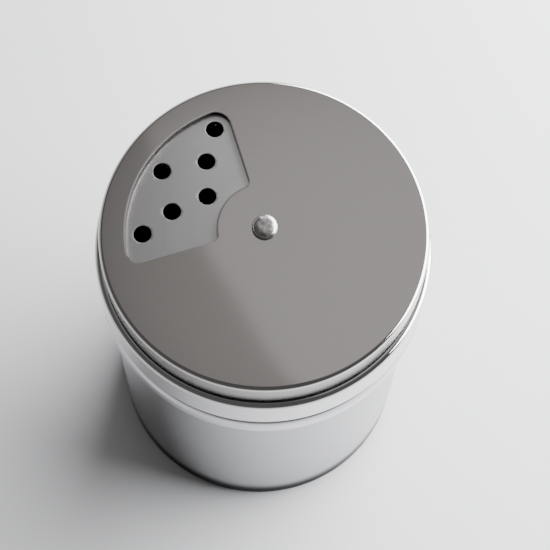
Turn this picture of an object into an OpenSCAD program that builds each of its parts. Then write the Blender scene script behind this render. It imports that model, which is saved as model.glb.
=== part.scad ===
// Table shaker for spices. A drawn steel jar carries a stepped screw lid with
// shaking holes, and a cover riveted to the lid turns its window over them.
// Millimetres, +Z up, origin at the centre of the base on the table.

/* [Jar] */
// Outside diameter of the jar's wall and neck
jar_d = 71.3; // [69:0.1:73]
// Thickness of the jar's sheet
jar_sheet = 0.5; // [0.4:0.05:0.7]
// Height of the straight wall, from the table to the foot of the bead
wall_h = 70.8; // [40:0.2:110]
// Outside radius where the wall turns into the base
base_round = 3; // [2:0.25:6]
// Width of the flat ring that the jar stands on
foot_w = 3; // [2:0.25:5]
// Depth of the panel pressed up inside that ring
base_rise = 0.8; // [0.4:0.1:2]
// Height of the rolled bead under the lid
bead_h = 8; // [5:0.2:10]
// How far the bead stands out of the wall
bead_out = 2; // [1.6:0.1:2.4]
// Height of the bead's sloping flank
bead_flank = 1.3; // [1.1:0.1:1.6]
// Height of the neck above the bead
neck_h = 11.4; // [10.8:0.2:20]
// Depth of the hem folded inside the mouth
hem_h = 3; // [2:0.25:5]
// Slit between the hem and the wall
hem_gap = 0.2; // [0.1:0.05:0.4]

/* [Lid] */
// Thickness of the lid's sheet
lid_sheet = 0.5; // [0.4:0.05:0.7]
// Outside diameter of the raised drum that the cover turns on
drum_d = 70.4; // [69.8:0.1:70.8]
// Height of the drum above the ledge
drum_h = 7.7; // [7:0.1:11]
// Radius of the drum's top edge, at the middle of the sheet
drum_round = 0.9; // [0.5:0.1:1.5]
// Radius of the lid's shoulder, at the middle of the sheet
shoulder_round = 1.1; // [0.8:0.1:1.3]
// Height of the lid's skirt, from the ledge to the rim
skirt_h = 11; // [9:0.2:12]
// Room between the neck and the skirt, where the two screw threads meet
thread_room = 1.45; // [1:0.05:1.7]
// How far the middle of the deck and of the cover stands above their rims
crown = 1.9; // [0.5:0.1:2.5]

/* [Shaking holes] */
// Direction of the middle of the coarse group
holes_at = 150.5; // [0:0.5:360]
// Diameter of the coarse holes
coarse_d = 4; // [3:0.1:4.6]
// Radius of the coarse group's outer row
coarse_out_r = 26.5; // [25:0.1:27.5]
// Step from one coarse row to the next
coarse_row = 5.9; // [5:0.05:6]
// Angle between neighbours in the outer row of three
coarse_out_angle = 33.6; // [28:0.2:36]
// Angle between the two holes of the middle row
coarse_mid_angle = 39.6; // [30:0.2:50]
// Diameter of the fine holes, on the far side of the lid
fine_d = 2; // [1.2:0.1:2.6]
// Radius of the fine group's outer row
fine_out_r = 27.5; // [26:0.1:28.5]
// Step from one fine row to the next
fine_row = 4.5; // [4:0.1:4.8]
// Fine holes in the outer row; each row inside it has one fewer
fine_count = 7; // [5:1:8]
// Angle that each fine row spans
fine_angle = 66; // [50:1:70]
// Rows of fine holes
fine_rows = 4; // [2:1:4]

/* [Turning cover] */
// Thickness of the cover's sheet
cover_sheet = 0.5; // [0.4:0.05:0.7]
// Height of the cover from the rim of its top face to its lower edge
cover_h = 7.5; // [6:0.1:8.5]
// Radius of the cover's top edge, at the middle of the sheet
cover_round = 0.85; // [0.5:0.05:1.2]
// Room between the cover's skirt and the drum
cover_gap = 0.45; // [0.3:0.05:0.6]
// Room between the cover and the deck, held by the wave washer
deck_gap = 0.6; // [0.5:0.05:1]
// Angle from the middle of the coarse holes to the middle of the window
window_turn = 3.5; // [-6:0.5:6]
// Angle that the window spans
window_angle = 90; // [80:0.5:96]
// Radius of the window's inner side
window_in_r = 10.4; // [9:0.1:12]
// Radius of the window's outer side
window_out_r = 30.3; // [29.6:0.1:32]
// Radius of the window's outer corners
window_out_round = 3.4; // [1:0.1:5]
// Radius of the window's inner corners
window_in_round = 1.6; // [0.5:0.1:3]

/* [Pivot] */
// Diameter of the rivet's shank
rivet_d = 3.2; // [2.8:0.1:4]
// Diameter of the rivet's domed head
rivet_head_d = 5.6; // [5:0.1:8]
// Height of the domed head
rivet_head_h = 1.5; // [1:0.1:2.5]
// Diameter of the clinched tail
rivet_tail_d = 5.2; // [4.8:0.1:7]
// Height of the clinched tail
rivet_tail_h = 1.2; // [0.8:0.1:2]
// Running room around the shank
rivet_gap = 0.06; // [0.03:0.01:0.1]
// Outside diameter of the washer under the deck
backing_d = 9; // [8:0.5:14]
// Thickness of that washer
backing_t = 0.8; // [0.5:0.1:1.2]
// Outside diameter of the wave washer between deck and cover
wave_d = 12; // [10:0.5:16]
// Bore of the wave washer
wave_bore = 6; // [5:0.5:7]
// Thickness of the wave washer's strip
wave_t = 0.3; // [0.2:0.05:0.4]
// Number of waves
wave_count = 3; // [3:1:4]
// How far the flat middle of deck and cover reaches past the washers
land_past = 0.5; // [0.2:0.1:2]

/* [Seal] */
// Thickness of the seal ring
seal_t = 1.2; // [0.8:0.1:2]
// Width of the seal ring
seal_w = 1.8; // [1.4:0.1:2]
// Room left at a face that another piece turns or presses on
face_gap = 0.04; // [0.02:0.01:0.08]

/* [Hidden] */

round_fn = 96;
bend_step = 12;
chord_max = 4;
hole_over = 1;
small_bend = 0.5;
bead_blend = 0.8;
bead_bend = 2.3;
jar_steel = [0.70, 0.70, 0.71];
lid_steel = [0.80, 0.80, 0.81];
cover_steel = [0.58, 0.57, 0.57];
rivet_steel = [0.75, 0.75, 0.76];
spring_steel = [0.45, 0.46, 0.48];
seal_white = [0.92, 0.92, 0.90];

// Radii and heights that follow from the sizes above
jar_r = jar_d / 2;
neck_z = wall_h + bead_h;
mouth_z = neck_z + neck_h;
seal_z = mouth_z + face_gap;
ledge_z = seal_z + seal_t + lid_sheet;
deck_z = ledge_z + drum_h;
rim_z = ledge_z - skirt_h;
skirt_in_r = jar_r + thread_room;
skirt_r = skirt_in_r + lid_sheet;
drum_r = drum_d / 2;
cover_r = drum_r + cover_gap + cover_sheet;
cover_z = deck_z + deck_gap + cover_sheet;
land_r = max(wave_d, backing_d) / 2 + land_past;
head_z = cover_z + crown + face_gap;
tail_z = deck_z + crown - lid_sheet - backing_t;
bore_r = rivet_d / 2 + rivet_gap;
seal_out_r = skirt_in_r - shoulder_round + lid_sheet / 2 - face_gap;

function unit(v) = v / norm(v);
function left_of(v) = [-v.y, v.x];
function turned(v, a) = [v.x * cos(a) - v.y * sin(a), v.x * sin(a) + v.y * cos(a)];
function polar(r, a) = [r * cos(a), r * sin(a)];
function arc(centre, r, from, to) =
    let (steps = max(2, ceil(abs(to - from) / bend_step)))
    [for (i = [0 : steps]) centre + polar(r, from + (to - from) * i / steps)];

// One bend of a sheet whose middle runs a-b-c. side is how far left of the middle the points lie.
function bend(a, b, c, side) =
    let (
        u = unit([b.x - a.x, b.y - a.y]),
        v = unit([c.x - b.x, c.y - b.y]),
        turn = atan2(cross(u, v), u * v),
        way = sign(turn),
        centre = [b.x, b.y] - u * b.z * tan(abs(turn) / 2) + left_of(u) * b.z * way,
        spoke = left_of(u) * (way * side - b.z) * way,
        arc_length = b.z * abs(turn) * PI / 180,
        steps = max(ceil(abs(turn) / bend_step), ceil(arc_length / chord_max))
    )
    [for (i = [0 : steps]) centre + turned(spoke, turn * i / steps)];

// One face of a bent sheet. path holds its ends as [x, y] and its bends as [x, y, radius].
function sheet_face(path, side) =
    let (last = len(path) - 1)
    concat(
        [[path[0].x, path[0].y] + left_of(unit([path[1].x - path[0].x, path[1].y - path[0].y])) * side],
        [for (i = [1 : last - 1]) each bend(path[i - 1], path[i], path[i + 1], side)],
        [[path[last].x, path[last].y]
            + left_of(unit([path[last].x - path[last - 1].x, path[last].y - path[last - 1].y])) * side]
    );

// Section of a bent sheet, drawn by the middle of its thickness
module sheet_section(path, thickness) {
    front = sheet_face(path, thickness / 2);
    back = sheet_face(path, -thickness / 2);
    polygon(concat(front, [for (i = [len(back) - 1 : -1 : 0]) back[i]]));
}

// Path of a crowned disc: a flat middle, one wide bend, then down to a rim at [r, z] with a corner radius
function crowned(r, z, corner) =
    let (
        reach = (r - 2 * corner - land_r) / 2,
        slope = atan(crown / (r - land_r - reach))
    )
    [[0, z + crown], [land_r + reach, z + crown, reach / tan(slope / 2)], [r, z, corner]];

// Deep-drawn jar: pressed base, straight wall, rolled bead and a neck with a folded mouth
module jar() {
    middle_r = jar_r - jar_sheet / 2;
    floor_z = jar_sheet / 2;
    foot_in_r = jar_r - base_round - foot_w;
    panel_in_r = foot_in_r - 2 * small_bend - base_rise;
    crest_r = middle_r + bead_out;
    hem_bend = (jar_sheet + hem_gap) / 2;
    lip_z = mouth_z - jar_sheet / 2;
    color(jar_steel)
    rotate_extrude($fn = round_fn)
        sheet_section([
            [0, floor_z + base_rise],
            [panel_in_r, floor_z + base_rise, small_bend],
            [foot_in_r, floor_z, small_bend],
            [middle_r, floor_z, base_round - jar_sheet / 2],
            [middle_r, wall_h, bead_blend],
            [crest_r, wall_h + bead_flank, bead_bend],
            [crest_r, neck_z - bead_flank, bead_bend],
            [middle_r, neck_z, bead_blend],
            [middle_r, lip_z, hem_bend],
            [middle_r - 2 * hem_bend, lip_z, hem_bend],
            [middle_r - 2 * hem_bend, mouth_z - hem_h]
        ], jar_sheet);
}

// Stepped screw lid: perforated deck, drum, ledge and skirt from one sheet
module screw_lid() {
    half = lid_sheet / 2;
    color(lid_steel)
    difference() {
        rotate_extrude($fn = round_fn)
            sheet_section(concat(crowned(drum_r - half, deck_z - half, drum_round), [
                [drum_r - half, ledge_z - half, small_bend],
                [skirt_r - half, ledge_z - half, shoulder_round],
                [skirt_r - half, rim_z]
            ]), lid_sheet);
        deck_hole(0, 0, bore_r);
        coarse_holes();
        fine_holes();
    }
}

module deck_hole(r, a, hole_r) {
    translate([r * cos(a), r * sin(a), deck_z - lid_sheet - hole_over])
        cylinder(r = hole_r, h = lid_sheet + crown + 2 * hole_over, $fn = 32);
}

// Three, two and one large holes, pointing at the rivet
module coarse_holes() {
    for (i = [-1 : 1])
        deck_hole(coarse_out_r, holes_at + i * coarse_out_angle, coarse_d / 2);
    for (i = [-1, 1])
        deck_hole(coarse_out_r - coarse_row, holes_at + i * coarse_mid_angle / 2, coarse_d / 2);
    deck_hole(coarse_out_r - 2 * coarse_row, holes_at, coarse_d / 2);
}

// Rows of small holes across the rivet from the coarse group
module fine_holes() {
    for (row = [0 : fine_rows - 1]) {
        count = fine_count - row;
        for (i = [0 : count - 1])
            deck_hole(
                fine_out_r - row * fine_row,
                holes_at + 180 + fine_angle * (i / (count - 1) - 0.5),
                fine_d / 2
            );
    }
}

// Outline of the cover's window, its middle along +X: radial sides and round corners
module window_outline() {
    half = window_angle / 2;
    out_r = window_out_r - window_out_round;
    in_r = window_in_r + window_in_round;
    out_shift = asin(window_out_round / out_r);
    in_shift = asin(window_in_round / in_r);
    polygon(concat(
        arc(polar(in_r, in_shift - half), window_in_round, 180 + in_shift - half, 270 - half),
        arc(polar(out_r, out_shift - half), window_out_round, -90 - half, out_shift - half),
        arc([0, 0], window_out_r, out_shift - half, half - out_shift),
        arc(polar(out_r, half - out_shift), window_out_round, half - out_shift, half + 90),
        arc(polar(in_r, half - in_shift), window_in_round, half + 90, half - in_shift + 180),
        arc([0, 0], window_in_r, half - in_shift, in_shift - half)
    ));
}

// Turning cover: a shallow cap with a window, held down by the rivet's head
module rotating_cover() {
    half = cover_sheet / 2;
    color(cover_steel)
    difference() {
        rotate_extrude($fn = round_fn)
            sheet_section(concat(crowned(cover_r - half, cover_z - half, cover_round), [
                [cover_r - half, cover_z - cover_h]
            ]), cover_sheet);
        translate([0, 0, cover_z - cover_sheet - hole_over])
            rotate(holes_at + window_turn)
                linear_extrude(cover_sheet + crown + 2 * hole_over)
                    window_outline();
        translate([0, 0, cover_z - cover_sheet - hole_over])
            cylinder(r = bore_r, h = cover_sheet + crown + 2 * hole_over, $fn = 48);
    }
}

// Half section of a dome that stands on y = 0
module dome_section(base_r, rise) {
    sphere_r = (base_r * base_r + rise * rise) / (2 * rise);
    intersection() {
        translate([0, rise - sphere_r])
            circle(r = sphere_r, $fn = 64);
        square([base_r, rise]);
    }
}

// Domed rivet, clinched under the deck
module pivot_rivet() {
    color(rivet_steel)
    rotate_extrude($fn = 48) {
        translate([0, head_z])
            dome_section(rivet_head_d / 2, rivet_head_h);
        translate([0, tail_z])
            square([rivet_d / 2, head_z - tail_z]);
        translate([0, tail_z])
            mirror([0, 1])
                dome_section(rivet_tail_d / 2, rivet_tail_h);
    }
}

// Flat washer that spreads the clinch under the deck
module backing_washer() {
    color(spring_steel)
    translate([0, 0, tail_z])
        difference() {
            cylinder(d = backing_d, h = backing_t, $fn = 64);
            translate([0, 0, -hole_over])
                cylinder(r = bore_r, h = backing_t + 2 * hole_over, $fn = 48);
        }
}

// Wave washer: a flat ring bent into waves that press the cover up against the rivet's head
module wave_washer() {
    steps = 72;
    rise = (deck_gap - wave_t - 2 * face_gap) / 2;
    points = [
        for (i = [0 : steps - 1])
            let (a = 360 * i / steps, z = deck_z + crown + deck_gap / 2 + rise * cos(wave_count * a))
            for (p = [[wave_bore, -wave_t], [wave_d, -wave_t], [wave_d, wave_t], [wave_bore, wave_t]])
                [p.x / 2 * cos(a), p.x / 2 * sin(a), z + p.y / 2]
    ];
    faces = [
        for (i = [0 : steps - 1], j = [0 : 3])
            let (a = 4 * i, b = 4 * ((i + 1) % steps), k = (j + 1) % 4)
            each [[a + j, a + k, b + k], [a + j, b + k, b + j]]
    ];
    color(spring_steel)
    polyhedron(points, faces);
}

// Soft ring under the lid's ledge that the jar's mouth presses on
module lid_seal() {
    color(seal_white)
    translate([0, 0, seal_z])
        difference() {
            cylinder(r = seal_out_r, h = seal_t - face_gap, $fn = round_fn);
            translate([0, 0, -hole_over])
                cylinder(r = seal_out_r - seal_w, h = seal_t + 2 * hole_over, $fn = round_fn);
        }
}

jar();
screw_lid();
rotating_cover();
pivot_rivet();
wave_washer();
backing_washer();
lid_seal();
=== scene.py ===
import math

import bpy
from mathutils import Matrix, Vector, noise


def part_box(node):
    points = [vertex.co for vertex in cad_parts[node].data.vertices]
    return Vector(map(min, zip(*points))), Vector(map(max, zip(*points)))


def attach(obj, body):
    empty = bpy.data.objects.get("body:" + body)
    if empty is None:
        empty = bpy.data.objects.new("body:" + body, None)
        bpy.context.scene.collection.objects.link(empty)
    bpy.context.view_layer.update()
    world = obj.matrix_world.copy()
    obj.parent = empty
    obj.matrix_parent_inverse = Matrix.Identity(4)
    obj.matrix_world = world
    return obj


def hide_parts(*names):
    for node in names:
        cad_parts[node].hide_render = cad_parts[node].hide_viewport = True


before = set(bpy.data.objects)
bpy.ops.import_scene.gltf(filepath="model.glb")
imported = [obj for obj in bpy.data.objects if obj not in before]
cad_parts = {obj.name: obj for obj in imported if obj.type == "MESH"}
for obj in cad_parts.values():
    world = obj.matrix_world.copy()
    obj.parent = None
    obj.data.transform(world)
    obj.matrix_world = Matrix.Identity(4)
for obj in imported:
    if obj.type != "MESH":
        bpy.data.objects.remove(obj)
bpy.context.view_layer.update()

# ---------------------------------------------------------------------------
# Jar. One sheet of 18/8 stainless steel, deep-drawn on a press and then rolled:
# a bead for the lid to sit on, a thread in the neck and a hem folded into the
# mouth. The wall is left satin by the drawing die and a fine belt.
# ---------------------------------------------------------------------------
jar_sheet = 0.0005
bead_out = 0.0020
bead_height = 0.0080
bead_flank = 0.0013
neck_height = 0.0114
base_round = 0.0030
foot_width = 0.0030
base_rise = 0.0008
hem_depth = 0.0030
hem_gap = 0.0002
press_round = 0.0005
bead_foot_round = 0.0008
bead_round = 0.0023
thread_pitch = 0.004
thread_depth = 0.0008
thread_half_width = 0.0012
thread_runout = 0.15
thread_foot = 0.0022
neck_turns = 1.25
lid_turns = 1.0
# Heights of the painted shade at the jar's foot: full below the first, faded out by the second.
painted_shade_full_below = 0.005
painted_shade_gone_above = 0.012
ring_step = 0.00025
ring_count = 36
rings_above_bead = 0.0008
same_place = 1e-6
_, jar_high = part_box("jar")
jar_r = jar_high.x - bead_out
mouth_z = jar_high.z
neck_z = mouth_z - neck_height
bead_z = neck_z - bead_height


def pick(piece, wanted):
    """Selects in edit mode only the vertices whose place is wanted, and what they close."""
    bpy.ops.mesh.select_all(action="DESELECT")
    bpy.ops.object.mode_set(mode="OBJECT")
    for vertex in piece.data.vertices:
        vertex.select = wanted(vertex.co)
    bpy.ops.object.mode_set(mode="EDIT")


def draw_line(name, points):
    """Draws a line of straight edges through the points, and stays in edit mode."""
    bpy.ops.object.select_all(action="DESELECT")
    bpy.ops.mesh.primitive_plane_add(size=0.001)
    piece = bpy.context.object
    piece.name = name
    bpy.ops.object.mode_set(mode="EDIT")
    bpy.ops.mesh.merge(type="CENTER")
    bpy.ops.transform.translate(value=points[0])
    for near, far in zip(points, points[1:]):
        bpy.ops.mesh.extrude_region_move(TRANSFORM_OT_translate={"value": far - near})
    return piece


def spin_profile(name, path, steps=240, bend_step=math.radians(9), longest_chord=0.0008):
    """Draws a profile through (radius, height, bend radius) points and spins it about Z."""
    corners = [Vector((r, 0, z)) for r, z, bend in path]
    bends = [bend for r, z, bend in path]
    piece = draw_line(name, corners)
    for before, corner, after, bend in zip(corners, corners[1:], corners[2:], bends[1:]):
        if bend == 0:
            continue
        turn = (corner - before).angle(after - corner)
        pick(piece, lambda place: (place - corner).length < same_place)
        bpy.ops.mesh.bevel(
            offset=bend * math.tan(turn / 2),
            segments=max(3, math.ceil(turn / bend_step), math.ceil(bend * turn / longest_chord)),
            profile=0.5,
            affect="VERTICES",
        )
    bpy.ops.mesh.select_all(action="SELECT")
    bpy.ops.mesh.remove_doubles(threshold=same_place)
    bpy.ops.mesh.select_all(action="SELECT")
    bpy.ops.mesh.spin(steps=steps, angle=math.tau, center=(0, 0, 0), axis=(0, 0, 1))
    bpy.ops.mesh.select_all(action="SELECT")
    bpy.ops.mesh.remove_doubles(threshold=same_place)
    bpy.ops.mesh.normals_make_consistent(inside=False)
    bpy.ops.object.mode_set(mode="OBJECT")
    return piece


def apply_modifier(piece, kind, **settings):
    """Adds one modifier with its settings and applies it to the piece's mesh."""
    bpy.context.view_layer.objects.active = piece
    modifier = piece.modifiers.new(kind.title(), kind)
    for setting, value in settings.items():
        setattr(modifier, setting, value)
    bpy.ops.object.modifier_apply(modifier=modifier.name)


def sheet_thickness(piece, sheet):
    """Gives a spun sheet its thickness, half to each side of the profile."""
    apply_modifier(piece, "SOLIDIFY", thickness=sheet, offset=0, use_even_offset=True)


def finish_metal(piece, edge=0.00008):
    """Breaks the sharp edges and shades the rest smooth, so that flats stay flat."""
    apply_modifier(
        piece, "BEVEL", width=edge, segments=2, limit_method="ANGLE", angle_limit=math.radians(50)
    )
    bpy.ops.object.select_all(action="DESELECT")
    piece.select_set(True)
    bpy.context.view_layer.objects.active = piece
    bpy.ops.object.shade_smooth_by_angle(angle=math.radians(40))
    apply_modifier(piece, "WEIGHTED_NORMAL", weight=50, keep_sharp=True)


def roll_thread(piece, way, low_z, turns, on_wall):
    """Presses a right-hand thread into the wall: way is 1 for a ridge outwards, -1 for inwards."""
    for vertex in piece.data.vertices:
        place = vertex.co
        if not on_wall(place):
            continue
        around = (math.atan2(place.y, place.x) % math.tau) / math.tau
        steps_up = (place.z - low_z) / thread_pitch - around
        along = round(steps_up) + around
        off_ridge = abs(steps_up - round(steps_up)) * thread_pitch
        runout = min(along, turns - along) / thread_runout
        if off_ridge >= thread_half_width or runout <= 0:
            continue
        swell = 0.5 + 0.5 * math.cos(math.pi * off_ridge / thread_half_width)
        out = Vector((place.x, place.y, 0)).normalized()
        vertex.co = place + out * way * thread_depth * min(1, runout) * swell


middle_r = jar_r - jar_sheet / 2
crest_r = middle_r + bead_out
foot_inner_r = jar_r - base_round - foot_width
hem_round = (jar_sheet + hem_gap) / 2
lip_z = mouth_z - jar_sheet / 2
thread_rings = [neck_z + rings_above_bead + ring_step * ring for ring in range(ring_count)]
jar = spin_profile("jar_shell", [
    (0, jar_sheet / 2 + base_rise, 0),
    (foot_inner_r - base_rise, jar_sheet / 2 + base_rise, press_round),
    (foot_inner_r, jar_sheet / 2, press_round),
    (middle_r, jar_sheet / 2, base_round - jar_sheet / 2),
    (middle_r, bead_z, bead_foot_round),
    (crest_r, bead_z + bead_flank, bead_round),
    (crest_r, neck_z - bead_flank, bead_round),
    (middle_r, neck_z, bead_foot_round),
    *[(middle_r, ring_z, 0) for ring_z in thread_rings],
    (middle_r, lip_z, hem_round),
    (middle_r - 2 * hem_round, lip_z, hem_round),
    (middle_r - 2 * hem_round, mouth_z - hem_depth, 0),
])
neck_thread_z = neck_z + thread_foot
roll_thread(
    jar, 1, neck_thread_z, neck_turns,
    lambda place: thread_rings[0] < place.z < thread_rings[-1]
)
sheet_thickness(jar, jar_sheet)
finish_metal(jar)


def linear(hex_colour):
    """An sRGB hex colour as the linear RGBA that Blender's sockets hold."""
    values = [int(hex_colour[i:i + 2], 16) / 255 for i in (1, 3, 5)]
    return [v / 12.92 if v <= 0.04045 else ((v + 0.055) / 1.055) ** 2.4 for v in values] + [1]


def add_node(tree, kind, inputs=None, **settings):
    """Adds one node, with its settings, and its inputs set to values or linked to sockets."""
    node = tree.nodes.new(kind)
    for setting, value in settings.items():
        setattr(node, setting, value)
    for socket, value in (inputs or {}).items():
        if isinstance(value, bpy.types.NodeSocket):
            tree.links.new(value, node.inputs[socket])
        else:
            node.inputs[socket].default_value = value
    return node


def new_material(name):
    """A material with an empty node tree and its output node."""
    material = bpy.data.materials.new(name)
    material.use_nodes = True
    material.node_tree.nodes.clear()
    return material, material.node_tree, add_node(material.node_tree, "ShaderNodeOutputMaterial")


def per_mm(count):
    """The scale, in metres, of a pattern that repeats this often in one millimetre."""
    return 1000 * count


def spread(tree, value, low, high):
    """A value between 0 and 1, such as a noise, spread from low to high."""
    return add_node(
        tree, "ShaderNodeMapRange", {"Value": value, "To Min": low, "To Max": high}
    ).outputs[0]


def mixed(tree, factor, low, high):
    """A tone between two, by a factor. Each is an sRGB hex colour or a socket."""
    tones = [linear(tone) if isinstance(tone, str) else tone for tone in (low, high)]
    return add_node(
        tree, "ShaderNodeMix", {"Factor": factor, 6: tones[0], 7: tones[1]}, data_type="RGBA"
    ).outputs[2]


def satin_drawn_steel():
    """18/8 steel off the drawing die and a fine belt: soft gloss on the wall, faint lines around,
    a bead and neck burnished by their rollers, and painted shade darkening the foot where the jar
    stands."""
    material, tree, output = new_material("satin_drawn_steel")
    place = add_node(tree, "ShaderNodeTexCoord").outputs["Object"]
    height = add_node(tree, "ShaderNodeSeparateXYZ", {"Vector": place}).outputs["Z"]
    # The belt's lines lie about 0.05 mm apart. They are drawn 0.11 mm apart, so that they show.
    lines = add_node(tree, "ShaderNodeMapping", {
        "Vector": place, "Scale": (per_mm(0.06), per_mm(0.06), per_mm(9)),
    })
    belt = add_node(
        tree, "ShaderNodeTexNoise", {"Vector": lines.outputs[0], "Scale": 1, "Detail": 3}
    ).outputs["Fac"]
    # The sheet's tone is uneven in patches some 17 mm wide.
    patches = add_node(
        tree, "ShaderNodeTexNoise", {"Vector": place, "Scale": per_mm(0.06), "Detail": 2}
    ).outputs["Fac"]
    # Mask of the painted shade at the foot: 0 in the lowest millimetres, rising to 1 up the wall.
    above_painted_shade = add_node(tree, "ShaderNodeMapRange", {
        "Value": height, "From Min": painted_shade_full_below, "From Max": painted_shade_gone_above,
    }, interpolation_type="SMOOTHSTEP").outputs[0]
    burnish = add_node(tree, "ShaderNodeMapRange", {
        "Value": height, "From Min": bead_z, "From Max": bead_z + bead_flank,
        "To Min": 1.0, "To Max": 0.25,
    }, interpolation_type="SMOOTHSTEP").outputs[0]
    satin = spread(tree, belt, 0.17, 0.23)
    rough = add_node(tree, "ShaderNodeMath", {0: satin, 1: burnish}, operation="MULTIPLY")
    wall_tone = mixed(tree, patches, "#98989A", "#A0A0A2")
    rolled_tone = mixed(tree, burnish, "#D8D8DA", wall_tone)
    # The foot's #58585A is painted shade: the contact shadow that the wall mirrors where the jar
    # stands, darkening the lowest few millimetres.
    steel_tone = mixed(tree, above_painted_shade, "#58585A", rolled_tone)
    # The painted shade also dims the grazing reflections at the foot, painting the dark line of
    # shade where the jar stands.
    edge_tone = mixed(tree, above_painted_shade, "#98989A", "#FFFFFF")
    bump = add_node(tree, "ShaderNodeBump", {"Height": belt, "Strength": 0.15, "Distance": 0.00002})
    steel = add_node(tree, "ShaderNodeBsdfPrincipled", {
        "Base Color": steel_tone, "Metallic": 1.0, "Roughness": rough.outputs[0],
        "Specular Tint": edge_tone, "Normal": bump.outputs[0],
    })
    tree.links.new(steel.outputs[0], output.inputs["Surface"])
    return material


jar.data.materials.clear()
jar.data.materials.append(satin_drawn_steel())
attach(jar, "jar")
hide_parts("jar")

# ---------------------------------------------------------------------------
# Seal. A flat ring cut from soft white silicone, pushed under the lid's ledge,
# that the jar's mouth presses on.
# ---------------------------------------------------------------------------
seal_edge = 0.00025
seal_low, seal_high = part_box("lid_seal")
seal_width = 0.0018


def spin_ring(name, inner_r, outer_r, low_z, high_z, edge):
    """A ring of rectangular section with rounded edges, closed all round."""
    ring = spin_profile(name, [
        (inner_r, (low_z + high_z) / 2, 0),
        (inner_r, high_z, edge),
        (outer_r, high_z, edge),
        (outer_r, low_z, edge),
        (inner_r, low_z, edge),
        (inner_r, (low_z + high_z) / 2, 0),
    ], bend_step=math.radians(30))
    bpy.ops.object.shade_smooth_by_angle(angle=math.radians(40))
    apply_modifier(ring, "WEIGHTED_NORMAL", weight=50, keep_sharp=True)
    return ring


seal = spin_ring(
    "seal_ring", seal_high.x - seal_width, seal_high.x, seal_low.z, seal_high.z, seal_edge
)


def soft_silicone():
    """White silicone cut from sheet: matt and slightly uneven."""
    material, tree, output = new_material("soft_silicone")
    place = add_node(tree, "ShaderNodeTexCoord").outputs["Object"]
    # The sheet's skin is uneven in grains about 1.1 mm wide.
    grain = add_node(
        tree, "ShaderNodeTexNoise", {"Vector": place, "Scale": per_mm(0.9), "Detail": 2}
    ).outputs["Fac"]
    bump = add_node(tree, "ShaderNodeBump", {"Height": grain, "Strength": 0.3, "Distance": 0.00003})
    silicone = add_node(tree, "ShaderNodeBsdfPrincipled", {
        "Base Color": mixed(tree, grain, "#E6E5DF", "#F0EFEA"), "Roughness": 0.55, "IOR": 1.41,
        "Normal": bump.outputs[0],
    })
    tree.links.new(silicone.outputs[0], output.inputs["Surface"])
    return material


seal.data.materials.append(soft_silicone())
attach(seal, "seal")
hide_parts("lid_seal")

# ---------------------------------------------------------------------------
# Screw lid. One sheet of the same steel pressed into a slightly crowned deck, a
# drum, a ledge and a skirt, all polished bright but the deck. The shaking holes
# are punched through the deck, and the thread is rolled into the skirt.
# ---------------------------------------------------------------------------
lid_sheet = 0.0005
drum_r = 0.0352
drum_height = 0.0077
crown = 0.0019
land_r = 0.0065
drum_round = 0.0009
shoulder_round = 0.0011
step_round = 0.0005
rings_above_edge = 0.0006
lid_low, lid_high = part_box("screw_lid")
skirt_r = lid_high.x
deck_z = lid_high.z - crown
ledge_z = deck_z - drum_height
half_sheet = lid_sheet / 2
skirt_rings = [lid_low.z + rings_above_edge + ring_step * ring for ring in range(ring_count)]


def crowned(r, z, corner):
    """Path of a crowned disc: a flat middle, one wide bend and a rim with a corner radius."""
    reach = (r - 2 * corner - land_r) / 2
    slope = math.atan(crown / (r - land_r - reach))
    wide_bend = reach / math.tan(slope / 2)
    return [(0, z + crown, 0), (land_r + reach, z + crown, wide_bend), (r, z, corner)]


lid = spin_profile("screw_lid_shell", [
    *crowned(drum_r - half_sheet, deck_z - half_sheet, drum_round),
    (drum_r - half_sheet, ledge_z - half_sheet, step_round),
    (skirt_r - half_sheet, ledge_z - half_sheet, shoulder_round),
    *[(skirt_r - half_sheet, ring_z, 0) for ring_z in reversed(skirt_rings)],
    (skirt_r - half_sheet, lid_low.z, 0),
])
sheet_thickness(lid, lid_sheet)
roll_thread(
    lid, -1, neck_thread_z + thread_pitch / 2, lid_turns,
    lambda place: skirt_rings[0] <= place.z <= skirt_rings[-1]
    and math.hypot(place.x, place.y) < skirt_r - half_sheet
)


def punch(name, hole_r, low_z, high_z):
    """A plain round punch on the axis, from one height to the other."""
    bpy.ops.object.select_all(action="DESELECT")
    bpy.ops.mesh.primitive_cylinder_add(
        vertices=64, radius=hole_r, depth=high_z - low_z, location=(0, 0, (high_z + low_z) / 2)
    )
    tool = bpy.context.object
    tool.name = name
    bpy.ops.object.transform_apply(location=True, rotation=True, scale=True)
    return tool


def cut(piece, cutters):
    """Joins the cutters and takes them out of the piece."""
    bpy.ops.object.select_all(action="DESELECT")
    for cutter in cutters:
        cutter.select_set(True)
    bpy.context.view_layer.objects.active = cutters[0]
    if len(cutters) > 1:
        bpy.ops.object.join()
    apply_modifier(piece, "BOOLEAN", operation="DIFFERENCE", solver="EXACT", object=cutters[0])
    bpy.data.objects.remove(cutters[0])


def copies_at(punched, places):
    """Moves the punch to the first place and its copies to the others, by their meshes."""
    several = [punched] + [punched.copy() for place in places[1:]]
    for one in several[1:]:
        one.data = punched.data.copy()
        bpy.context.collection.objects.link(one)
    for one, (r, angle) in zip(several, places):
        for vertex in one.data.vertices:
            vertex.co += Vector((r * math.cos(angle), r * math.sin(angle), 0))
    return several


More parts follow.
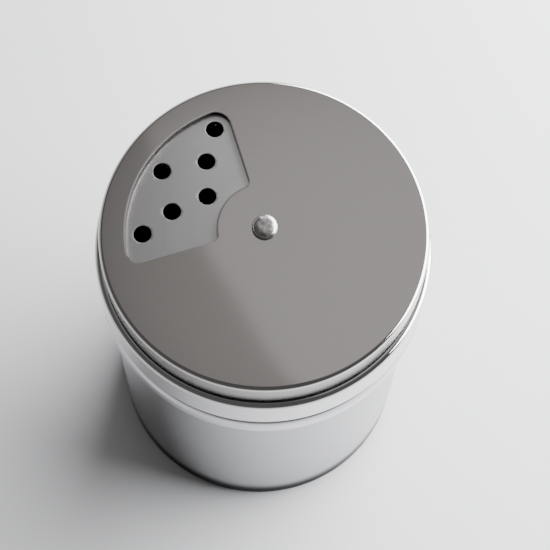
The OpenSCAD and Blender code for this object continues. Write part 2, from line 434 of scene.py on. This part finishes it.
holes_at = math.radians(150.5)
coarse_r = 0.002
fine_r = 0.001
fine_out_row_r = 0.0275
fine_row_step = 0.0045
fine_span = math.radians(66)
fine_out_count = 7
fine_row_count = 4
coarse_rows = [
    (0.0265, math.radians(67.2), 3),
    (0.0206, math.radians(39.6), 2),
    (0.0147, 0, 1),
]
fine_rows = [
    (fine_out_row_r - fine_row_step * row, fine_span, fine_out_count - row)
    for row in range(fine_row_count)
]


def fan(rows, middle):
    """Places of the holes in rows of (radius, angle spanned, count) about a middle angle."""
    return [
        (r, middle + span * (i / max(1, count - 1) - 0.5 * (count > 1)))
        for r, span, count in rows
        for i in range(count)
    ]


rivet_bore_r = 0.00166
below_deck = deck_z - 2 * lid_sheet
above_deck = lid_high.z + lid_sheet
coarse_places = fan(coarse_rows, holes_at)
fine_places = fan(fine_rows, holes_at + math.pi)
cut(lid, [
    *copies_at(punch("coarse_punch", coarse_r, below_deck, above_deck), coarse_places),
    *copies_at(punch("fine_punch", fine_r, below_deck, above_deck), fine_places),
    punch("bore_punch", rivet_bore_r, below_deck, above_deck),
])
finish_metal(lid)


def polished_drawn_steel():
    """The same steel polished on a lathe: nearly a mirror, with hair-fine lines around. The deck
    keeps the satin of the press."""
    material, tree, output = new_material("polished_drawn_steel")
    place = add_node(tree, "ShaderNodeTexCoord").outputs["Object"]
    height = add_node(tree, "ShaderNodeSeparateXYZ", {"Vector": place}).outputs["Z"]
    # The polish leaves lines about 0.05 mm apart. They are drawn 0.2 mm apart, so that they show.
    lines = add_node(tree, "ShaderNodeMapping", {
        "Vector": place, "Scale": (per_mm(0.04), per_mm(0.04), per_mm(5)),
    })
    polish = add_node(
        tree, "ShaderNodeTexNoise", {"Vector": lines.outputs[0], "Scale": 1, "Detail": 3}
    ).outputs["Fac"]
    pressed = add_node(tree, "ShaderNodeMapRange", {
        "Value": height, "From Min": deck_z - 2 * drum_round, "From Max": deck_z - drum_round,
        "To Min": 1.0, "To Max": 5.6,
    }).outputs[0]
    mirror = spread(tree, polish, 0.048, 0.053)
    rough = add_node(tree, "ShaderNodeMath", {0: mirror, 1: pressed}, operation="MULTIPLY")
    bump = add_node(
        tree, "ShaderNodeBump", {"Height": polish, "Strength": 0.02, "Distance": 0.00002}
    )
    steel = add_node(tree, "ShaderNodeBsdfPrincipled", {
        "Base Color": mixed(tree, polish, "#CDCDCE", "#D6D6D7"), "Metallic": 1.0,
        "Roughness": rough.outputs[0], "Normal": bump.outputs[0],
    })
    tree.links.new(steel.outputs[0], output.inputs["Surface"])
    return material


lid.data.materials.clear()
lid.data.materials.append(polished_drawn_steel())
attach(lid, "lid")
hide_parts("screw_lid")

# ---------------------------------------------------------------------------
# Washers. A plain punched ring under the deck for the rivet's clinch, and a
# ring bent into three waves that pushes the cover up against the rivet's head.
# ---------------------------------------------------------------------------
washer_edge = 0.00012
wave_bore_r = 0.003
wave_strip = 0.0003
wave_count = 3
backing_low, backing_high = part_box("backing_washer")
backing = spin_ring(
    "backing_ring", rivet_bore_r, backing_high.x, backing_low.z, backing_high.z, washer_edge
)
wave_low, wave_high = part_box("wave_washer")
wave_middle = (wave_low.z + wave_high.z) / 2
wave = spin_ring(
    "wave_ring", wave_bore_r, wave_high.x, wave_middle - wave_strip / 2,
    wave_middle + wave_strip / 2, wave_strip / 4
)
wave_rise = (wave_high.z - wave_low.z - wave_strip) / 2
for vertex in wave.data.vertices:
    vertex.co.z += wave_rise * math.cos(wave_count * math.atan2(vertex.co.y, vertex.co.x))


def spring_steel():
    """Rolled spring strip: grey, slightly oily, with short scuffs from the tumbling barrel."""
    material, tree, output = new_material("spring_steel")
    place = add_node(tree, "ShaderNodeTexCoord").outputs["Object"]
    # The barrel leaves scuffs about 1.4 mm long.
    scuffs = add_node(
        tree, "ShaderNodeTexNoise", {"Vector": place, "Scale": per_mm(0.7), "Detail": 4}
    ).outputs["Fac"]
    steel = add_node(tree, "ShaderNodeBsdfPrincipled", {
        "Base Color": mixed(tree, scuffs, "#9A9CA0", "#B9BBBE"), "Metallic": 1.0,
        "Roughness": spread(tree, scuffs, 0.28, 0.45),
    })
    tree.links.new(steel.outputs[0], output.inputs["Surface"])
    return material


washer_steel = spring_steel()
for washer, node in ((backing, "backing_washer"), (wave, "wave_washer")):
    washer.data.materials.append(washer_steel)
    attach(washer, "lid")
    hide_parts(node)

# ---------------------------------------------------------------------------
# Turning cover. A shallow crowned cap pressed from one sheet, with a quarter
# window punched in it, brushed and buffed on top. It turns on the rivet.
# ---------------------------------------------------------------------------
cover_sheet = 0.0005
cover_round = 0.00085
side_blend = 0.00017
window_at = holes_at + math.radians(3.5)
window_angle = math.radians(90)
window_in_r = 0.0104
window_out_r = 0.0303
window_in_round = 0.0016
window_out_round = 0.0034
hub_steps = 40
rim_steps = 60
in_round_steps = 8
out_round_steps = 12
cover_low, cover_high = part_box("rotating_cover")
cover_r = cover_high.x
cover_z = cover_high.z - crown
cover_middle_z = cover_z - cover_sheet / 2
below_cover = cover_z - 2 * cover_sheet
above_cover = cover_high.z + cover_sheet
cover = spin_profile("cover_cap", [
    *crowned(cover_r - cover_sheet / 2, cover_middle_z, cover_round),
    (cover_r - cover_sheet / 2, cover_low.z, 0),
])
sheet_thickness(cover, cover_sheet)


def arc(centre_r, centre_angle, r, start, end, steps):
    """Points along an arc whose centre is given by radius and angle about the rivet."""
    centre = Vector((centre_r * math.cos(centre_angle), centre_r * math.sin(centre_angle), 0))
    angles = [start + (end - start) * step / steps for step in range(steps + 1)]
    return [centre + Vector((r * math.cos(angle), r * math.sin(angle), 0)) for angle in angles]


def window_punch():
    """A block in the window's outline: two radial sides, two arcs and four round corners."""
    right = window_at - window_angle / 2
    left = window_at + window_angle / 2
    in_r = window_in_r + window_in_round
    out_r = window_out_r - window_out_round
    in_right = right + math.asin(window_in_round / in_r)
    in_left = left - math.asin(window_in_round / in_r)
    out_right = right + math.asin(window_out_round / out_r)
    out_left = left - math.asin(window_out_round / out_r)
    square = math.pi / 2
    outline = (
        arc(in_r, in_right, window_in_round, in_right + math.pi, right + 3 * square, in_round_steps)
        + arc(out_r, out_right, window_out_round, right - square, out_right, out_round_steps)
        + arc(0, 0, window_out_r, out_right, out_left, rim_steps)
        + arc(out_r, out_left, window_out_round, out_left, left + square, out_round_steps)
        + arc(in_r, in_left, window_in_round, left + square, in_left + math.pi, in_round_steps)
        + arc(0, 0, window_in_r, in_left, in_right, hub_steps)
    )
    low = Vector((0, 0, below_cover))
    block = draw_line("window_punch", [point + low for point in outline])
    bpy.ops.mesh.select_all(action="SELECT")
    bpy.ops.mesh.remove_doubles(threshold=same_place)
    bpy.ops.mesh.edge_face_add()
    bpy.ops.mesh.extrude_region_move(
        TRANSFORM_OT_translate={"value": (0, 0, above_cover - below_cover)}
    )
    bpy.ops.mesh.select_all(action="SELECT")
    bpy.ops.mesh.normals_make_consistent(inside=False)
    bpy.ops.object.mode_set(mode="OBJECT")
    return block


cut(cover, [window_punch(), punch("cover_bore_punch", rivet_bore_r, below_cover, above_cover)])
finish_metal(cover, edge=0.00012)


def fine_satin_steel():
    """The cover's steel, brushed along its rolling and then buffed: hazy, with fine hairlines.
    Its side keeps the upright hatching of the drawing die."""
    material, tree, output = new_material("fine_satin_steel")
    place = add_node(tree, "ShaderNodeTexCoord").outputs["Object"]
    height = add_node(tree, "ShaderNodeSeparateXYZ", {"Vector": place}).outputs["Z"]
    # The hairlines lie about 0.05 mm apart. They are drawn 0.11 mm apart, so that they show.
    lines = add_node(tree, "ShaderNodeMapping", {
        "Vector": place, "Scale": (per_mm(0.2), per_mm(9), per_mm(0.2)),
    })
    hair = add_node(
        tree, "ShaderNodeTexNoise", {"Vector": lines.outputs[0], "Scale": 1, "Detail": 3}
    ).outputs["Fac"]
    # The die's marks are 0.2 mm wide and run the whole height of the side.
    hatching = add_node(tree, "ShaderNodeMapping", {
        "Vector": place, "Scale": (per_mm(5), per_mm(5), per_mm(0.06)),
    })
    hatch = add_node(
        tree, "ShaderNodeTexNoise", {"Vector": hatching.outputs[0], "Scale": 1, "Detail": 3}
    ).outputs["Fac"]
    on_top = add_node(tree, "ShaderNodeMapRange", {
        "Value": height, "From Min": cover_z - cover_round - side_blend,
        "From Max": cover_z - cover_round,
    }).outputs[0]
    buffed = spread(tree, hair, 0.07, 0.11)
    drawn = spread(tree, hatch, 0.22, 0.27)
    rough = add_node(tree, "ShaderNodeMix", {0: on_top, 2: drawn, 3: buffed}, data_type="FLOAT")
    bump = add_node(tree, "ShaderNodeBump", {"Height": hair, "Strength": 0.04, "Distance": 0.00002})
    top_tone = mixed(tree, hair, "#C9C7C5", "#D0CECC")
    steel = add_node(tree, "ShaderNodeBsdfPrincipled", {
        "Base Color": mixed(tree, on_top, "#8A8886", top_tone), "Metallic": 1.0,
        "Roughness": rough.outputs[0], "Normal": bump.outputs[0],
    })
    tree.links.new(steel.outputs[0], output.inputs["Surface"])
    return material


cover.data.materials.clear()
cover.data.materials.append(fine_satin_steel())
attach(cover, "cover")
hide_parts("rotating_cover")

# ---------------------------------------------------------------------------
# Rivet. Soft steel with a full round head, put through cover, wave washer, deck
# and backing washer and clinched below. The snap tool leaves small flats on it.
# ---------------------------------------------------------------------------
rivet_r = 0.0016
head_height = 0.0015
tail_r = 0.0026
tail_height = 0.0012
dent = 0.00006
rivet_low, rivet_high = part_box("pivot_rivet")
head_r = rivet_high.x
head_z = rivet_high.z - head_height
tail_z = rivet_low.z + tail_height


def dome_points(base_r, rise, base_z, way, steps=14):
    """Points of a dome's profile from its rim to its middle. way is 1 for up and -1 for down."""
    sphere_r = (base_r ** 2 + rise ** 2) / (2 * rise)
    widest = math.asin(base_r / sphere_r)
    angles = [widest * (steps - step) / steps for step in range(steps + 1)]
    return [
        (sphere_r * math.sin(a), base_z + way * (sphere_r * math.cos(a) - sphere_r + rise), 0)
        for a in angles
    ]


def full_head_points(base_r, rise, base_z, fullness=3.2, steps=24):
    """Points of a head struck fuller than a dome, from its middle to its rim: a superellipse."""
    angles = [math.pi / 2 * step / steps for step in range(steps + 1)]
    return [
        (base_r * math.sin(a) ** (2 / fullness), base_z + rise * math.cos(a) ** (2 / fullness), 0)
        for a in angles
    ]


rivet = spin_profile("rivet", [
    *full_head_points(head_r, head_height, head_z),
    (rivet_r, head_z, 0),
    (rivet_r, tail_z, 0),
    *dome_points(tail_r, tail_height, tail_z, -1),
], steps=96)
for vertex in rivet.data.vertices:
    if vertex.co.z > head_z + dent:
        vertex.co.z += dent * noise.noise(vertex.co * per_mm(0.9))
finish_metal(rivet, edge=0.00005)


def hammered_rivet_steel():
    """Rivet wire upset cold: bright, with small dull flats where the snap tool struck."""
    material, tree, output = new_material("hammered_rivet_steel")
    place = add_node(tree, "ShaderNodeTexCoord").outputs["Object"]
    # The flats are about 1.1 mm wide and the mottle between them 0.8 mm.
    flats = add_node(
        tree, "ShaderNodeTexVoronoi", {"Vector": place, "Scale": per_mm(0.9)}
    ).outputs["Distance"]
    mottle = add_node(
        tree, "ShaderNodeTexNoise", {"Vector": place, "Scale": per_mm(1.2), "Detail": 3}
    ).outputs["Fac"]
    bump = add_node(tree, "ShaderNodeBump", {"Height": flats, "Strength": 0.3, "Distance": 0.00012})
    steel = add_node(tree, "ShaderNodeBsdfPrincipled", {
        "Base Color": mixed(tree, mottle, "#8E8C8C", "#C8C6C6"), "Metallic": 1.0,
        "Roughness": spread(tree, mottle, 0.20, 0.38), "Normal": bump.outputs[0],
    })
    tree.links.new(steel.outputs[0], output.inputs["Surface"])
    return material


rivet.data.materials.append(hammered_rivet_steel())
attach(rivet, "lid")
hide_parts("pivot_rivet")

# ---------------------------------------------------------------------------
# Table and light. A plain pale table, one broad soft light at the right and
# behind, and a dim studio whose brighter ceiling, walls and window the steel
# mirrors from the directions that they lie in.
# ---------------------------------------------------------------------------
key_at = Vector((0.292, 0.190, 0.235))
key_aim = Vector((0, 0, 0.05))
key_width = 0.84
key_height = 0.30
key_power = 13
darkest_wall = 0.11
bpy.ops.object.select_all(action="DESELECT")
bpy.ops.mesh.primitive_plane_add(size=4)
table = bpy.context.object
table.name = "table"


def white_laminate():
    """A pale laminated table top: even and matt, with a slight sheen."""
    material, tree, output = new_material("white_laminate")
    place = add_node(tree, "ShaderNodeTexCoord").outputs["Object"]
    # The print's grain is about 1.1 mm wide.
    grain = add_node(
        tree, "ShaderNodeTexNoise", {"Vector": place, "Scale": per_mm(0.9), "Detail": 2}
    ).outputs["Fac"]
    laminate = add_node(tree, "ShaderNodeBsdfPrincipled", {
        "Base Color": mixed(tree, grain, "#E4E6E9", "#E6E8EB"), "Roughness": 0.5,
    })
    tree.links.new(laminate.outputs[0], output.inputs["Surface"])
    return material


table.data.materials.append(white_laminate())

world = bpy.data.worlds.new("studio")
world.use_nodes = True
world.node_tree.nodes.clear()
bpy.context.scene.world = world
facing = add_node(world.node_tree, "ShaderNodeTexCoord").outputs["Generated"]


def ramp(direction, low, high, light=1.0):
    """Light that grows from none to its full value as the view turns to a direction."""
    along = add_node(
        world.node_tree, "ShaderNodeVectorMath", {0: facing, 1: direction}, operation="DOT_PRODUCT"
    )
    return add_node(world.node_tree, "ShaderNodeMapRange", {
        "Value": along.outputs["Value"], "From Min": low, "From Max": high, "To Max": light,
    }, interpolation_type="SMOOTHSTEP").outputs[0]


def combined(first, second, operation):
    """Two values of the world's nodes multiplied or added."""
    return add_node(
        world.node_tree, "ShaderNodeMath", {0: first, 1: second}, operation=operation
    ).outputs[0]


# The ceiling gives the cover its even grey, and its lit part, past a soft edge, the lighter
# field at the cover's right.
ceiling = combined(
    ramp((0.45, 0.25, 0.86), low=0.45, high=1.0, light=0.26),
    ramp((0, 1, 0), low=-0.06, high=0.02),
    "MULTIPLY",
)
lit_ceiling = combined(
    ramp((0.1, 0.2, 0.975), low=0.75, high=1.0, light=0.19),
    ramp((0.854, 0.52, 0), low=0.065, high=0.095),
    "MULTIPLY",
)
# The backdrop, low behind, and the skirting, low all round, brighten the rims, and the window
# brightens the right side.
backdrop = combined(
    ramp((0, 0, -1), low=-0.5, high=-0.1, light=0.7),
    ramp((0, 1, 0), low=-0.2, high=0.6),
    "MULTIPLY",
)
skirting = ramp((0, 0, -1), low=-0.35, high=0, light=0.15)
window = ramp((0.8, 0.5, 0.33), low=0.75, high=0.95, light=3.0)
room_light = darkest_wall
for light in (ceiling, lit_ceiling, backdrop, skirting, window):
    room_light = combined(light, room_light, "ADD")
room = add_node(
    world.node_tree, "ShaderNodeBackground", {"Color": linear("#FFFBFA"), "Strength": room_light}
)
add_node(world.node_tree, "ShaderNodeOutputWorld", {"Surface": room.outputs[0]})

bpy.ops.object.light_add(type="AREA", location=key_at)
key = bpy.context.object
key.name = "key_light"
key.data.shape = "RECTANGLE"
key.data.size = key_width
key.data.size_y = key_height
key.data.energy = key_power
key.rotation_euler = (key_aim - key_at).to_track_quat("-Z", "Y").to_euler()

# ---------------------------------------------------------------------------
# Camera, as the photograph was taken: high above the front, turned slightly.
# ---------------------------------------------------------------------------
camera_place = Vector((0, -0.14012, 0.46538))
camera_aim = Vector((0.00265, -0.01011, 0.10074))
camera_roll = math.radians(3.49)
lens = 117.6
bpy.ops.object.camera_add(location=camera_place)
camera = bpy.context.object
camera.name = "photo_camera"
camera.data.lens = lens
camera.data.sensor_width = 36
camera.data.clip_start = 0.01
look = (camera_aim - camera_place).to_track_quat("-Z", "Y").to_matrix().to_4x4()
camera.rotation_euler = (look @ Matrix.Rotation(camera_roll, 4, "Z")).to_euler()
bpy.context.scene.camera = camera
